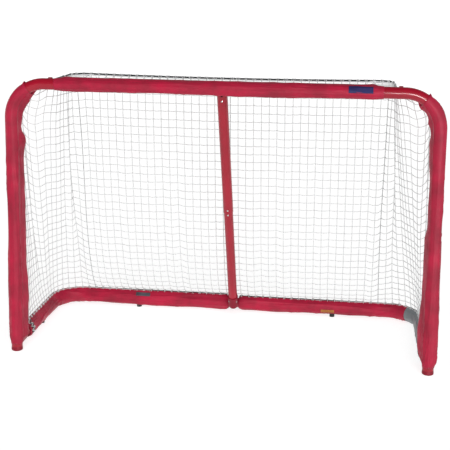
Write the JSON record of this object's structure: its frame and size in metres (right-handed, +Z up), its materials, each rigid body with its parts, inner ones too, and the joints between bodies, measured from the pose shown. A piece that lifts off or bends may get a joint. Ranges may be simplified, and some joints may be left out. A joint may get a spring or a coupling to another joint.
{
  "type": "hockey goal net",
  "caption": "Folding red steel-tube hockey goal with fabric-sleeved frame, hinged base, telescoping centre bar, drop-down top shelf and white cord net.",
  "frame": {"origin": "on the floor, midway between the posts and midway between the mouth tubes and the rear base tube", "axes": "+X from the left post to the right post as seen from the shooter, +Y from the mouth into the goal, +Z up"},
  "size_m": [1.9454, 0.763, 1.2735],
  "materials": {
    "red_tube_paint": "semi-gloss red powder coat",
    "red_bracket_paint": "satin red powder coat",
    "red_fabric": "woven polyester, satin sheen",
    "white_netting": "knotted twine, matt",
    "black_rod_paint": "satin black",
    "red_cap_plastic": "moulded, fine grain",
    "black_rubber": "moulded, matt",
    "black_lacing": "braided cord",
    "blue_patch": "woven patch",
    "grey_patch": "webbing",
    "ochre_tag": "woven tag",
    "zinc_hardware": "bright zinc"
  },
  "bodies": {
    "front_frame": {"left_post_tube": "red_tube_paint", "left_elbow_tube": "red_tube_paint", "left_foot_cap": "red_cap_plastic", "right_post_tube": "red_tube_paint", "right_elbow_tube": "red_tube_paint", "right_foot_cap": "red_cap_plastic", "crossbar_tube": "red_tube_paint", "elbow_screws": "zinc_hardware", "left_hinge_bracket": "red_bracket_paint", "left_hinge_pin": "zinc_hardware", "right_hinge_bracket": "red_bracket_paint", "right_hinge_pin": "zinc_hardware", "hinge_bracket_bolts": "red_bracket_paint", "hinge_pin_clips": "zinc_hardware", "bar_hanger": "red_bracket_paint", "hanger_screws": "zinc_hardware", "hanger_pin": "zinc_hardware", "left_shelf_lug": "red_bracket_paint", "right_shelf_lug": "red_bracket_paint", "left_post_sleeve": "red_fabric", "right_post_sleeve": "red_fabric", "crossbar_sleeve": "red_fabric", "crossbar_patch": "blue_patch", "net_back": "white_netting", "net_top": "white_netting", "net_left": "white_netting", "net_right": "white_netting"},
    "base_frame": {"left_hinge_lug": "red_bracket_paint", "right_hinge_lug": "red_bracket_paint", "left_base_tube": "red_tube_paint", "left_base_sleeve": "red_fabric", "right_base_tube": "red_tube_paint", "right_base_sleeve": "red_fabric", "base_joint_screws": "zinc_hardware", "hinge_lug_rivets": "zinc_hardware", "rear_left_foot": "black_rubber", "rear_right_foot": "black_rubber", "left_side_foot": "black_rubber", "right_side_foot": "black_rubber", "left_base_lace": "black_lacing", "right_base_lace": "black_lacing", "rear_patch": "grey_patch", "base_tag": "ochre_tag"},
    "top_shelf": {"shelf_left_arm": "black_rod_paint", "shelf_right_arm": "black_rod_paint", "shelf_end_clips": "zinc_hardware", "shelf_rear_rod": "black_rod_paint"},
    "bar_upper": {"bar_upper_tube": "red_tube_paint", "bar_fork": "red_bracket_paint", "fork_screw": "zinc_hardware"},
    "bar_lower": {"bar_lower_tube": "red_tube_paint", "bar_end_cap": "red_cap_plastic", "cap_rivets": "zinc_hardware", "snap_spring": "zinc_hardware"},
    "snap_upper": {"snap_button_upper": "zinc_hardware"},
    "snap_lower": {"snap_button_lower": "zinc_hardware"}
  },
  "joints": [
    {"name": "base_fold", "type": "hinge", "parent": "front_frame", "child": "base_frame", "pos_m": [0, -0.27, 0.048], "axis": [1, 0, 0], "range_deg": [0, 90], "deforming": ["net_back", "net_top", "net_left", "net_right"]},
    {"name": "shelf_fold", "type": "hinge", "parent": "front_frame", "child": "top_shelf", "pos_m": [0, -0.308, 1.262], "axis": [-1, 0, 0], "range_deg": [0, 82]},
    {"name": "bar_swing", "type": "hinge", "parent": "front_frame", "child": "bar_upper", "pos_m": [0, -0.3, 1.223], "axis": [-1, 0, 0], "range_deg": [0, 29.8]},
    {"name": "bar_telescope", "type": "slide", "parent": "bar_upper", "child": "bar_lower", "axis": [0, -0.4493, 0.8934], "range_m": [0, 0.165], "deforming": ["snap_button_upper", "snap_button_lower"]},
    {"name": "snap_upper_press", "type": "slide", "parent": "bar_lower", "child": "snap_upper", "axis": [0, 0.8934, 0.4493], "range_m": [0, 0.005], "stiffness_N_per_m": 600, "deforming": ["snap_spring"]},
    {"name": "snap_lower_press", "type": "slide", "parent": "bar_lower", "child": "snap_lower", "axis": [0, 0.8934, 0.4493], "range_m": [0, 0.005], "stiffness_N_per_m": 600}
  ],
  "couplings": [
    {"joint": "shelf_fold", "follows": "base_fold", "ratio": 0.91111},
    {"joint": "bar_swing", "follows": "base_fold", "ratio": 0.33111},
    {"joint": "bar_telescope", "follows": "base_fold", "m_per_rad": 0.10504}
  ]
}
